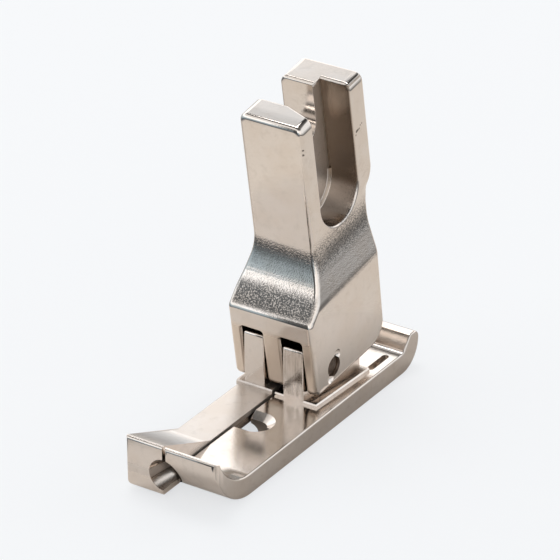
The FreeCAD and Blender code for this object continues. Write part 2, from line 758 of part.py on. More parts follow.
def main():
    """Builds every piece, moves the frame's origin and writes one file a piece."""
    pieces = {
        "shank": make_shank(),
        "pivot_pin": make_pin(),
        "left_sole": make_left_sole(),
        "right_sole": make_right_sole(),
        "left_spring": make_spring(-1),
        "right_spring": make_spring(1),
    }
    bounds = FreeCAD.BoundBox()
    for shape in pieces.values():
        bounds.add(shape.optimalBoundingBox(False, False))
    centre = bounds.Center
    os.makedirs("parts", exist_ok=True)
    for name, shape in pieces.items():
        shape.translate(Vec(-centre.x, -centre.y, -bounds.ZMin))
        shape.exportStep("parts/" + name + ".step")
        print(name, shape.isValid(), len(shape.Solids), round(shape.Volume, 2))
    print("pin at", -centre.x, -centre.y, PIVOT_HEIGHT - bounds.ZMin)


main()
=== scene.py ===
import math
from types import SimpleNamespace

import bpy
from bpy.props import FloatProperty, FloatVectorProperty, PointerProperty
from mathutils import Matrix, Vector


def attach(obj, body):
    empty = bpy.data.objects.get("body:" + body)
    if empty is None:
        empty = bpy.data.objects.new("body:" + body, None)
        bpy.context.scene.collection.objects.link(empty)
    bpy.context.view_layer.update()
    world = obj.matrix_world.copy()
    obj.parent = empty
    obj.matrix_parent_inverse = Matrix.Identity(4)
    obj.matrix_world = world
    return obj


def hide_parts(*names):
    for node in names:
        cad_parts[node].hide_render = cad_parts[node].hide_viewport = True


bl_info = {
    "name": "Hinged Presser Foot",
    "version": (1, 0, 0),
    "blender": (4, 5, 0),
    "location": "3D Viewport > Sidebar > Presser Foot",
    "description": "Finished pieces, metal finishes and studio for a split-sole presser foot",
    "category": "Add Mesh",
}

MM = 0.001

# The shank's own axes run across the foot, along it towards the heel and up the leaning
# shank, called rise, all from the middle of the pivot pin. Lengths are in millimetres.
PIN = (-0.75, 4.45, 5.25)    # middle of the pivot pin in the foot's frame
LEAN = 9.0                   # angle of the shank towards the toe, in degrees

# Forms of the shank's solid that the finished one starts from
SHANK_HALF = 3.5             # half width of the upper shank
FLARE_OUT = 1.25             # how much wider the body is than that on each side
FLARE_TOP = 12.9             # rise, where the sides start to widen
FLARE_LOW = 7.1              # rise, where the sides are at full width
COVE_RADIUS = 7.737
COVE_MIDDLE = (-7.187, 13.2)
BODY_FRONT = -3.15           # along, front face under the shoulder
SLOT_REAR = 7.725            # along, rear wall of the screw slot
CHANNEL_REAR = 8.95          # along, rear wall of the channel for the presser bar
SHANK_TOP = 26.5             # rise, top of both prongs
SOLID_SHOULDER = 0.45        # radius of the rounding between cove and front face
EDGE_REACH = 0.65            # roundings of its edges end within this of its faces
SHOULDER_RISES = (5.5, 8.5)  # rise, between which the shoulder lies
SHOULDER_LIMIT_Y = 0.0018    # the shoulder's faces have their middles ahead of this, in metres
REAR_REACH = 1.2             # the rear moves back with all that lies this near to its face
REAR_BLEND = 0.5             # length over which that movement sets in

# Cuts that give the finished shank its roundings: first rise, spacing and number.
CREASE_CUTS = (7.1, 0.1, 10)
FLARE_CUTS = (8.3, 0.3, 28)
SHOULDER_CUTS = (5.95, 0.12, 8)

# Tilt of the finished flares in degrees, by rise.
FLARE_TILTS = (
    (12.9, 0.0),
    (10.5, 16.8),
    (8.0, 16.8),
    (7.1, 0.0),
    (0.0, 0.0),
)

# Rise, the solid's rear face along the foot and how far the finished one lies behind it.
REAR_PROFILE = (
    (-2.35, 6.85, 0.0),
    (-0.35, 8.85, 0.35),
    (3.0, 8.85, 0.45),
    (7.0, 8.85, 0.57),
    (10.5, 8.90, 0.72),
    (12.4, 9.15, 0.95),
    (13.4, 9.80, 0.90),
    (14.3, 10.50, 0.66),
    (15.2, 10.95, 0.50),
    (16.4, 11.10, 0.42),
    (30.0, 11.10, 0.42),
)

# Nicks in the shank's right side: along, rise and radius.
NICKS = (
    (9.44, 20.98, 0.20),
    (9.66, 21.02, 0.17),
    (9.90, 21.04, 0.12),
    (10.12, 21.30, 0.10),
    (10.40, 21.36, 0.10),
    (9.27, 20.65, 0.11),
    (0.74, 24.13, 0.12),
    (0.70, 23.62, 0.15),
)

MERGE = 0.0005 * MM          # corners of loose triangles nearer than this are one
CUT_REACH = 0.001 * MM       # corners nearer than this to a cut lie on it
SMOOTH_ANGLE = math.radians(32.0)

# Levels of the surroundings by elevation in degrees, as metal reflects them: a pale table,
# a dark gap beyond it, and large soft panels on the left, in front and behind.
TABLE = (0.93, 0.88, 0.82)
NEAR_TABLE = (1.08, 1.02, 0.94)
FRONT_LEFT_LEVELS = (
    (-90, NEAR_TABLE),
    (-41, NEAR_TABLE),
    (-37, (0.80, 0.76, 0.72)),
    (-33, 0.45),
    (-28, (0.21, 0.22, 0.24)),
    (-22, (0.13, 0.15, 0.17)),
    (-18, (0.25, 0.31, 0.35)),
    (-13, (0.37, 0.46, 0.52)),
    (-8, (0.48, 0.60, 0.68)),
    (4, (0.70, 0.86, 0.96)),
    (8, (1.00, 1.12, 1.20)),
    (11, (1.85, 1.92, 1.98)),
    (28, (1.90, 1.95, 2.00)),
    (32, (1.50, 1.56, 1.62)),
    (36, 1.25),
    (52, 1.25),
    (58, 0.10),
    (90, 0.08),
)
BACK_RIGHT_LEVELS = (
    (-90, TABLE),
    (-25, TABLE),
    (-22, (0.52, 0.50, 0.48)),
    (-18, 0.24),
    (-13, 0.20),
    (-8, (0.42, 0.43, 0.44)),
    (-3, (0.70, 0.73, 0.75)),
    (4, (0.90, 0.94, 0.98)),
    (12, (1.30, 1.35, 1.40)),
    (40, (1.30, 1.35, 1.40)),
    (48, 0.30),
    (90, 0.08),
)
BACK_LEFT_LEVELS = (
    (-90, TABLE),
    (-20, TABLE),
    (-4, 0.50),
    (6, (1.00, 1.05, 1.10)),
    (12, (2.00, 2.00, 2.00)),
    (34, (2.00, 2.00, 2.00)),
    (40, (1.15, 1.20, 1.25)),
    (45, (0.80, 0.84, 0.88)),
    (50, 0.12),
    (90, 0.08),
)
OTHER_LEVELS = (
    (-90, TABLE),
    (-24, TABLE),
    (-19, 0.15),
    (-14, 0.15),
    (-8, 0.80),
    (0, 1.50),
    (38, 1.50),
    (48, 0.20),
    (90, 0.08),
)

# Level direction in which each of the three known walls stands, and its levels.
WALLS = (
    (0.67, 0.74, BACK_RIGHT_LEVELS),
    (-0.55, 0.83, BACK_LEFT_LEVELS),
    (-0.55, -0.83, FRONT_LEFT_LEVELS),
)
WALL_BLEND = (0.2, 0.55)     # cosines to a wall's direction where it sets in and is alone
ROOM_STRENGTH = 2.0          # a ramp's colours end at 1, so they are divided by this

FLOOR_SIDE = 3.0
LAMP_PLACE = (-0.16, 0.14, 0.60)
LAMP_TARGET = (0.0, 0.0, 0.012)
LAMP_SIDE = 0.30

# Camera of the photograph, measured in its pixels
PHOTO_WIDTH = 560.0
FOCAL_PIXELS = 4100.0
SENSOR_WIDTH = 36.0

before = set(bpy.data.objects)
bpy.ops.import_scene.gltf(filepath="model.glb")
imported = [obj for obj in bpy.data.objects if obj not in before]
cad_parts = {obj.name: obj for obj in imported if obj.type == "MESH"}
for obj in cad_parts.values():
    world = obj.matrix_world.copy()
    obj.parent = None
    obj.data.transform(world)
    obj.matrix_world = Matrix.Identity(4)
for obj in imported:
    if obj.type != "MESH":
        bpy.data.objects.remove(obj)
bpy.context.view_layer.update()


# Shader expressions


class Wire:
    """A socket of a node tree on which Python arithmetic can be written."""

    def __init__(self, finish, socket):
        self.finish = finish
        self.socket = socket

    def _math(self, operation, first, second=None):
        inputs = {0: first}
        if second is not None:
            inputs[1] = second
        return self.finish.node("ShaderNodeMath", {"operation": operation}, inputs)

    def __add__(self, other):
        return self._math("ADD", self, other)

    __radd__ = __add__

    def __sub__(self, other):
        return self._math("SUBTRACT", self, other)

    def __rsub__(self, other):
        return self._math("SUBTRACT", other, self)

    def __mul__(self, other):
        return self._math("MULTIPLY", self, other)

    __rmul__ = __mul__

    def __pow__(self, other):
        return self._math("POWER", self, other)

    def __abs__(self):
        return self._math("ABSOLUTE", self)

    def least(self, other):
        return self._math("MINIMUM", self, other)

    def most(self, other):
        return self._math("MAXIMUM", self, other)


class Finish:
    """A material being written: its node tree and the few nodes that every finish uses."""

    def __init__(self, name, tree=None):
        if tree is None:
            self.material = bpy.data.materials.new(name)
            self.material.use_nodes = True
            tree = self.material.node_tree
        self.tree = tree
        self.tree.nodes.clear()

    def node(self, kind, settings=None, inputs=None, output=0):
        """Adds a node: its settings first, then the values or wires of its inputs."""
        made = self.tree.nodes.new(kind)
        for key, value in (settings or {}).items():
            if key == "stops":
                self._set_stops(made.color_ramp, value)
            else:
                setattr(made, key, value)
        for key, value in (inputs or {}).items():
            if isinstance(value, Wire):
                self.tree.links.new(value.socket, made.inputs[key])
            else:
                made.inputs[key].default_value = value
        return Wire(self, made.outputs[output]) if made.outputs else None

    @staticmethod
    def _set_stops(ramp, stops):
        while len(ramp.elements) > 1:
            ramp.elements.remove(ramp.elements[-1])
        for index, (place, colour) in enumerate(stops):
            element = ramp.elements[0] if index == 0 else ramp.elements.new(place)
            element.position = place
            element.color = (*colour, 1.0)

    def place(self):
        """Object coordinates, in metres."""
        return self.node("ShaderNodeTexCoord", output=3)

    def split(self, vector):
        """The three parts of a vector."""
        outputs = self.node("ShaderNodeSeparateXYZ", inputs={0: vector}).socket.node.outputs
        return tuple(Wire(self, outputs[index]) for index in range(3))

    def axes(self, place):
        """The three coordinates of a place, in millimetres."""
        return tuple(value * (1.0 / MM) for value in self.split(place))

    def shank_axes(self, place):
        """Across the foot in its frame, and along and up the shank, in millimetres."""
        x, y, z = self.axes(place)
        lean = math.radians(LEAN)
        back, up = y - PIN[1], z - PIN[2]
        along = back * math.cos(lean) + up * math.sin(lean)
        rise = up * math.cos(lean) - back * math.sin(lean)
        return x, along, rise

    def seen_by(self, ray):
        """1 to one kind of ray, such as the camera's, and 0 to the others."""
        outputs = self.node("ShaderNodeLightPath").socket.node.outputs
        return Wire(self, outputs[ray])

    def stretched(self, place, scale):
        """A place for a pattern that is drawn out where the scale is small."""
        return self.node("ShaderNodeMapping", inputs={"Vector": place, "Scale": scale})

    def noise(self, place, size, detail=3.0, roughness=0.55, distortion=0.0):
        """Noise with features of about that size in millimetres, from 0 to 1."""
        inputs = {
            "Vector": place,
            "Scale": 1.0 / (size * MM),
            "Detail": detail,
            "Roughness": roughness,
            "Distortion": distortion,
        }
        return self.node("ShaderNodeTexNoise", inputs=inputs)

    def step(self, value, low, high):
        """0 below low, 1 above high and smooth between them; low may be the larger."""
        settings = {"interpolation_type": "SMOOTHSTEP"}
        if low < high:
            inputs = {"Value": value, "From Min": low, "From Max": high}
            return self.node("ShaderNodeMapRange", settings, inputs)
        inputs = {"Value": value, "From Min": high, "From Max": low}
        return 1.0 - self.node("ShaderNodeMapRange", settings, inputs)

    def mix(self, factor, first, second):
        """Mixes two colours."""
        inputs = {0: factor, 6: rgba(first), 7: rgba(second)}
        return self.node("ShaderNodeMix", {"data_type": "RGBA"}, inputs, output=2)

    def ramp(self, value, stops):
        """Colour by a value from 0 to 1."""
        return self.node("ShaderNodeValToRGB", {"stops": stops}, {0: value})

    def bump(self, height, strength, depth, normal=None):
        """Normal raised by a height from 0 to 1, of that depth in millimetres."""
        inputs = {"Height": height, "Strength": strength, "Distance": depth * MM}
        if normal is not None:
            inputs["Normal"] = normal
        return self.node("ShaderNodeBump", inputs=inputs)

    def metal(self, colour, roughness, normal):
        """Closes the finish with a metal surface."""
        inputs = {
            "Base Color": colour,
            "Roughness": roughness,
            "Metallic": 1.0,
            "Normal": normal,
        }
        surface = self.node("ShaderNodeBsdfPrincipled", inputs=inputs)
        self.node("ShaderNodeOutputMaterial", inputs={0: surface})
        return self.material


def rgba(colour):
    """A colour as a node's input takes it, or a wire as it is."""
    return colour if isinstance(colour, Wire) else (*colour[:3], 1.0)


# Finishes


def shank_zones(f, x, along, rise):
    """Where the shank's surfaces lie, each as a value from 0 to 1."""
    side = abs(x - PIN[0])
    cove = f.step(rise, 13.2, 12.2) * f.step(rise, 6.5, 7.0) * f.step(along, 3.0, 1.5)
    cove = cove * f.step(side, 4.6, 4.1)
    flare = f.step(rise, 14.0, 12.4) * f.step(rise, 6.9, 7.4) * f.step(side, 3.2, 3.5)
    flare = flare * f.step(along, 0.2, 0.8)
    # Inside the channel for the presser bar: its rear wall, round end, floor and the bevel
    # where the round end meets the floor
    inside = f.step(rise, 12.9, 13.3) * f.step(rise, 26.4, 26.3) * f.step(along, 2.3, 2.6)
    inside = inside * f.step(along, 9.2, 9.1) * f.step(x, 2.72, 2.6) * f.step(x, -0.60, -0.57)
    rear_wall = inside * f.step(along, 8.6, 8.9) * f.step(along, 9.3, 9.1) * f.step(x, -0.6, -0.5)
    round_end = inside * f.step(rise, 17.0, 15.5) * f.step(x, -0.5, -0.3)
    bevel = inside * f.step(x, -0.52, -0.48) * f.step(x, -0.27, -0.31) * f.step(rise, 16.6, 16.4)
    return SimpleNamespace(
        cove=cove,
        flare=flare,
        inside=inside,
        rear_wall=rear_wall,
        round_end=round_end,
        bevel=bevel,
        floor=inside * f.step(x, -0.40, -0.50),
        tongue=f.step(rise, 5.0, 4.0) * f.step(along, -2.9, -3.1),
        top=f.step(rise, 26.2, 26.4),
    )


def marks(f, first, second, spots):
    """1 inside small round marks, from their two coordinates and radii in millimetres."""
    total = 0.0
    for across, over, radius in spots:
        distance = ((first - across) ** 2.0 + (second - over) ** 2.0) ** 0.5
        total = f.step(distance, radius, 0.5 * radius) + total
    return total.least(1.0)


def worn_edge(f, x, along, rise):
    """Height that rounds the upper front edge of the rear prong, at the slot and the channel."""
    wall = SLOT_REAR + (CHANNEL_REAR - SLOT_REAR) * f.step(x, -0.56, -0.54)
    worn = (f.step(along - wall, -0.4, 0.4) - 0.5) * f.step(rise, 26.1, 26.3)
    worn = worn + f.step(SHANK_TOP - rise, -0.3, 0.3) - 1.0
    return worn * f.step(along, 7.0, 7.2)


def casting_nickel(looks):
    """Satin nickel over a fine cast grain, with painted shade and a painted reflection, for the
    shank.
    """
    f = Finish("casting_nickel")
    place = f.place()
    x, along, rise = f.shank_axes(place)
    on = shank_zones(f, x, along, rise)
    cloud = f.noise(place, 3.0, 3.0, 0.5)
    mottle = f.noise(place, 0.8, 3.0, 0.6)
    speckle = f.noise(place, 0.13, 1.0, 0.5)
    grit = f.noise(place, 0.19, 1.0, 0.5, 0.8)
    cove_low = on.cove * f.step(rise + 0.5 * mottle, 9.1, 8.2)
    cove_high = on.cove * f.step(rise, 10.4, 11.6)
    nicks = marks(f, along, rise, NICKS) * f.step(x, 2.5, 2.6)

    colour = f.mix(f.step(cloud, 0.35, 0.65), looks.nickel, looks.nickel_warm)
    spots = f.step(speckle, 0.55, 0.75) * (0.08 + 0.5 * on.inside)
    colour = f.mix(f.step(mottle, 0.50, 0.72) * 0.15 + spots, colour, looks.nickel_dull)

    # Painted shade in the grain: low in the cove it stands in for the dark ceiling that the cove
    # reflects, along the cove's upper rim for the rim's shade, and on the flares.
    painted_shade = cove_low * (0.45 + 0.55 * f.step(speckle, 0.62, 0.48))
    rim = f.step(rise, 11.3, 11.9) * f.step(rise, 12.9, 12.3) * f.step(speckle, 0.58, 0.44)
    painted_shade = painted_shade.most(on.cove * rim * 0.6)
    painted_shade = painted_shade.most(on.flare * f.step(rise, 9.6, 10.6) * f.step(speckle, 0.60, 0.40) * 0.6)
    colour = f.mix(painted_shade, colour, looks.painted_shade)

    # Painted shade darkens the channel's walls in dark brown, a painted warm reflection lights the
    # clevis front, and the nicks are dirty.
    colour = f.mix(0.85 * on.rear_wall * f.step(rise, 13.5, 15.0), colour, looks.channel_shade)
    # Painted shade also on the round end and, darker, in the bevel where it meets the floor.
    colour = f.mix((0.3 * on.round_end).most(0.75 * on.bevel), colour, looks.channel_shade)
    # Painted reflection: the warm tint of light bounced between nickel faces, on the clevis front.
    colour = f.mix(0.6 * on.tongue, colour, looks.painted_bounce)
    colour = f.mix(0.85 * nicks, colour, looks.dirt)

    roughness = 0.07 + 0.04 * cloud + 0.04 * mottle
    roughness = roughness + 0.12 * on.inside + 0.2 * on.tongue + 0.25 * on.floor

    # The cove and the flares keep the casting's grain, the flat faces are ground.
    grain = 0.04 + 0.14 * on.cove + 0.3 * cove_high + 0.8 * cove_low
    grain = grain + 0.4 * on.flare + 0.4 * on.inside
    normal = f.bump(speckle + 0.7 * grit - 0.8 * nicks, grain, 0.035)
    normal = f.bump(mottle + 0.8 * cloud, 0.06, 0.03, normal)
    normal = f.bump(worn_edge(f, x, along, rise), 1.0, 0.35, normal)
    normal = f.bump(f.step(along, 0.5, 2.3) * on.top, 1.0, 0.03, normal)
    return f.metal(colour, roughness, normal)


def sole_nickel(looks):
    """Polished nickel with faint grinding, for the two soles."""
    f = Finish("sole_nickel")
    place = f.place()
    x, y, z = f.axes(place)
    cloud = f.noise(place, 2.6, 3.0, 0.5)
    mottle = f.noise(place, 0.7, 3.0, 0.6)
    speckle = f.noise(place, 0.16, 2.0, 0.6)
    strokes = f.noise(f.stretched(place, (1.0, 1.0, 0.12)), 0.28, 3.0, 0.6)

    # The right lug is streaked from top to bottom, the left strip is finely speckled.
    lug = f.step(z, 2.7, 3.1) * f.step(y, 3.5, 3.0) * f.step(y, -1.0, 0.0)
    streaked = lug * f.step(x, -1.0, -0.5)
    strip = f.step(x, -0.5, -0.8) * f.step(z, 3.1, 2.7)
    top = f.step(z, 1.9, 2.1) * f.step(z, 3.1, 2.7)

    colour = f.mix(f.step(cloud, 0.35, 0.65), looks.nickel, looks.nickel_warm)
    colour = f.mix(f.step(mottle, 0.5, 0.72) * 0.2, colour, looks.nickel_dull)
    colour = f.mix(f.step(strokes, 0.42, 0.66) * 0.75 * streaked, colour, looks.nickel_dull)
    roughness = 0.07 + 0.05 * cloud + 0.04 * speckle + 0.14 * strip
    roughness = roughness + (0.03 + 0.11 * strip) * top
    normal = f.bump(speckle, 0.12 + 0.25 * strip + 0.3 * streaked, 0.03)
    normal = f.bump(mottle, 0.15, 0.02, normal)
    return f.metal(colour, roughness, normal)


def dark_steel(looks):
    """Darkened steel of the pin's end."""
    f = Finish("dark_steel")
    cloud = f.noise(f.place(), 0.4, 3.0, 0.6)
    colour = f.mix(f.step(cloud, 0.3, 0.7), looks.pin, looks.pin_stain)
    return f.metal(colour, 0.35 + 0.2 * cloud, f.bump(cloud, 0.3, 0.03))


def bright_wire(looks):
    """Drawn spring wire."""
    f = Finish("bright_wire")
    fine = f.noise(f.place(), 0.12, 2.0, 0.6)
    colour = f.mix(fine, looks.wire, looks.wire_dull)
    return f.metal(colour, 0.25 + 0.1 * fine, f.bump(fine, 0.1, 0.01))


def studio_floor(studio):
    """Plain pale floor: it keeps the shadow, looks white to the camera and ends for reflections."""
    f = Finish("studio_floor")
    x, y, _ = f.axes(f.place())
    seen = f.seen_by("Is Camera Ray")
    mirrored = f.seen_by("Is Glossy Ray")
    distance = (x * x + y * y) ** 0.5
    reach = studio.table / MM
    far = f.step(distance, 0.92 * reach, 1.08 * reach)
    # Painted shadow: the floor beside the right sole is darker for reflections and bounced light,
    # standing in for the foot's contact shadow.
    beside = 0.5 * f.step(x, 14.0, 7.0) * f.step(x, 4.0, 5.0)
    colour = f.mix(beside, studio.floor, studio.floor_painted_shadow)
    colour = f.mix(seen, colour, studio.floor_shade)
    diffuse = f.node("ShaderNodeBsdfDiffuse", inputs={"Color": colour})
    glow = f.node(
        "ShaderNodeEmission",
        inputs={"Color": rgba(studio.floor_glow), "Strength": seen * studio.glow},
    )
    floor = f.node("ShaderNodeAddShader", inputs={0: diffuse, 1: glow})
    away = f.node("ShaderNodeBsdfTransparent")
    surface = f.node("ShaderNodeMixShader", inputs={0: far * mirrored, 1: floor, 2: away})
    f.node("ShaderNodeOutputMaterial", inputs={0: surface})
    return f.material


# Modelling helpers


def deselect():
    """Leaves edit mode and selects nothing."""
    if bpy.context.object and bpy.context.object.mode != "OBJECT":
        bpy.ops.object.mode_set(mode="OBJECT")
    bpy.ops.object.select_all(action="DESELECT")


def hold(piece):
    """Makes a piece the only selected and the active one."""
    deselect()
    piece.select_set(True)
    bpy.context.view_layer.objects.active = piece


def merged_copy(node, name):
    """Copy of a CAD node as a piece of its own, with its loose triangles joined."""
    piece = bpy.data.objects.new(name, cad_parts[node].data.copy())
    bpy.context.scene.collection.objects.link(piece)
    hold(piece)
    piece.data.materials.clear()
    if piece.data.has_custom_normals:
        bpy.ops.mesh.customdata_custom_splitnormals_clear()
    bpy.ops.object.mode_set(mode="EDIT")
    bpy.ops.mesh.select_all(action="SELECT")
    bpy.ops.mesh.remove_doubles(threshold=MERGE)
    bpy.ops.mesh.normals_make_consistent(inside=False)
    bpy.ops.object.mode_set(mode="OBJECT")
    return piece


def sliced(piece, spot, way, cuts, limit=None):
    """Adds rings of edges where planes cross the piece, along a way from a spot.

    The cuts are their first distance, spacing and number. With a limit, only faces whose
    middle lies ahead of it are cut.
    """
    first, spacing, number = cuts
    for index in range(number):
        hold(piece)
        bpy.context.tool_settings.mesh_select_mode = (False, False, True)
        for face in piece.data.polygons:
            face.select = limit is None or face.center.y < limit
        bpy.ops.object.mode_set(mode="EDIT")
        point = Vector(spot) + (first + spacing * index) * MM * Vector(way)
        bpy.ops.mesh.bisect(plane_co=point, plane_no=way, threshold=CUT_REACH)
        bpy.ops.object.mode_set(mode="OBJECT")


def solid_flare(rise):
    """How much wider the solid is than its upper shank on each side: two arcs that meet."""
    height, out = (FLARE_TOP - FLARE_LOW) / 2, FLARE_OUT / 2
    radius = (height**2 + out**2) / (2 * out)
    if rise >= FLARE_TOP:
        return 0.0
    if rise >= FLARE_LOW + height:
        return radius - math.sqrt(radius**2 - (FLARE_TOP - rise) ** 2)
    if rise > FLARE_LOW:
        return FLARE_OUT - radius + math.sqrt(radius**2 - (rise - FLARE_LOW) ** 2)
    return FLARE_OUT


def tilted_width(rise):
    """Width that the flare's tilts add up to from the top down to a rise."""
    total = 0.0
    for (high, steep), (low, flat) in zip(FLARE_TILTS, FLARE_TILTS[1:]):
        if rise >= high:
            break
        bottom = max(rise, low)
        share = (high - bottom) / (high - low)
        middle = steep + (flat - steep) * share / 2
        total += (high - bottom) * math.tan(math.radians(middle))
    return total


def shoulder_front(rise, rounding):
    """Front surface of the cove and shoulder, along the foot, for a rounding's radius."""
    middle = BODY_FRONT + rounding
    fall = math.sqrt((COVE_RADIUS + rounding) ** 2 - (middle - COVE_MIDDLE[0]) ** 2)
    low = COVE_MIDDLE[1] - fall
    touch = COVE_MIDDLE[1] - fall * COVE_RADIUS / (COVE_RADIUS + rounding)
    if rise >= touch:
        return COVE_MIDDLE[0] + math.sqrt(max(0.0, COVE_RADIUS**2 - (COVE_MIDDLE[1] - rise) ** 2))
    if rise >= low:
        return middle - math.sqrt(rounding**2 - (rise - low) ** 2)
    return BODY_FRONT


def rear_face(rise):
    """The solid's rear face and its shift at a height, both along the foot."""
    for (low, face, shift), (high, next_face, next_shift) in zip(REAR_PROFILE, REAR_PROFILE[1:]):
        if low <= rise <= high:
            share = (rise - low) / (high - low)
            return face + (next_face - face) * share, shift + (next_shift - shift) * share
    return REAR_PROFILE[0][1:] if rise < 0 else REAR_PROFILE[-1][1:]


def reshaped_shank(piece, looks):
    """Gives the flares their lower crease and the shoulder its rounding, and moves the rear back."""
    lean = math.radians(LEAN)
    pin = Vector(PIN) * MM
    up = Vector((0, -math.sin(lean), math.cos(lean)))
    back = Vector((0, math.cos(lean), math.sin(lean)))
    for cuts in (CREASE_CUTS, FLARE_CUTS):
        sliced(piece, pin, up, cuts)
    sliced(piece, pin, up, SHOULDER_CUTS, SHOULDER_LIMIT_Y)
    scale = FLARE_OUT / tilted_width(0.0)
    rounding = looks.shoulder / MM
    lowest, highest = SHOULDER_RISES
    for vertex in piece.data.vertices:
        place = vertex.co - pin
        rise, along, across = place.dot(up) / MM, place.dot(back) / MM, place.x / MM
        flare = solid_flare(rise)
        if abs(across) > SHANK_HALF + flare - EDGE_REACH:
            wider = scale * tilted_width(rise) - flare
            vertex.co.x += wider * MM * math.copysign(1.0, across)
        solid = shoulder_front(rise, SOLID_SHOULDER)
        if along < solid + EDGE_REACH and lowest < rise < highest:
            vertex.co += back * (shoulder_front(rise, rounding) - solid) * MM
        face, shift = rear_face(rise)
        share = min(1.0, max(0.0, (along - face + REAR_REACH) / REAR_BLEND))
        vertex.co += back * share * shift * MM


def shaded(piece):
    """Shades a piece smooth over its roundings and flat over its faces."""
    hold(piece)
    bpy.ops.object.shade_smooth_by_angle(angle=SMOOTH_ANGLE)
    weighted = piece.modifiers.new("faces", "WEIGHTED_NORMAL")
    weighted.keep_sharp = True
    bpy.ops.object.modifier_apply(modifier=weighted.name)


def dressed(piece, material, body, node):
    """Gives a piece its finish and its body, and lets it stand for the CAD node."""
    piece.data.materials.clear()
    piece.data.materials.append(material)
    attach(piece, body)
    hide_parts(node)


# Sizes and colours that a user may change


class FootLooks(bpy.types.PropertyGroup):
    """Colours and small sizes of the foot's finish."""

    nickel: FloatVectorProperty(
        name="Nickel",
        description="Main colour of the plating",
        default=(0.635, 0.58, 0.535),
        subtype="COLOR",
        min=0.0,
        max=1.0,
    )
    nickel_warm: FloatVectorProperty(
        name="Warm nickel",
        description="Colour of the plating where it is slightly tarnished",
        default=(0.62, 0.555, 0.50),
        subtype="COLOR",
        min=0.0,
        max=1.0,
    )
    nickel_dull: FloatVectorProperty(
        name="Dull nickel",
        description="Colour of the dull spots in the plating",
        default=(0.38, 0.34, 0.30),
        subtype="COLOR",
        min=0.0,
        max=1.0,
    )
    # Painted shade: dark brown on the channel's walls, where they reflect dark surroundings
    channel_shade: FloatVectorProperty(
        name="Recess",
        description="Tarnished colour of the channel's walls",
        default=(0.22, 0.165, 0.12),
        subtype="COLOR",
        min=0.0,
        max=1.0,
    )
    # Painted reflection: the warm tint of light bounced between nickel faces, for the clevis front
    painted_bounce: FloatVectorProperty(
        name="Bronze",
        description="Colour of the clevis front, where the plating is thin",
        default=(0.66, 0.54, 0.43),
        subtype="COLOR",
        min=0.0,
        max=1.0,
    )
    # Painted shade: dark colour in the casting's grain that stands in for shade and dark reflections
    painted_shade: FloatVectorProperty(
        name="Soot",
        description="Dark colour in the casting's grain",
        default=(0.09, 0.088, 0.085),
        subtype="COLOR",
        min=0.0,
        max=1.0,
    )
    dirt: FloatVectorProperty(
        name="Dirt",
        description="Colour in the nicks of the shank's side",
        default=(0.06, 0.05, 0.04),
        subtype="COLOR",
        min=0.0,
        max=1.0,
    )
    pin: FloatVectorProperty(
        name="Pin steel",
        description="Colour of the pivot pin's end",
        default=(0.16, 0.12, 0.09),
        subtype="COLOR",
        min=0.0,
        max=1.0,
    )
    pin_stain: FloatVectorProperty(
        name="Pin stain",
        description="Darkest colour on the pivot pin's end",
        default=(0.07, 0.05, 0.04),
        subtype="COLOR",
        min=0.0,
        max=1.0,
    )
    wire: FloatVectorProperty(
        name="Spring wire",
        description="Colour of the springs",
        default=(0.56, 0.54, 0.50),
        subtype="COLOR",
        min=0.0,
        max=1.0,
    )
    wire_dull: FloatVectorProperty(
        name="Dull spring wire",
        description="Colour of the springs where they are dull",
        default=(0.42, 0.40, 0.37),
        subtype="COLOR",
        min=0.0,
        max=1.0,
    )
    shoulder: FloatProperty(
        name="Shoulder rounding",
        description="Radius of the rounding along the front of the shoulder",
        default=0.9 * MM,
        unit="LENGTH",
        precision=5,
    )


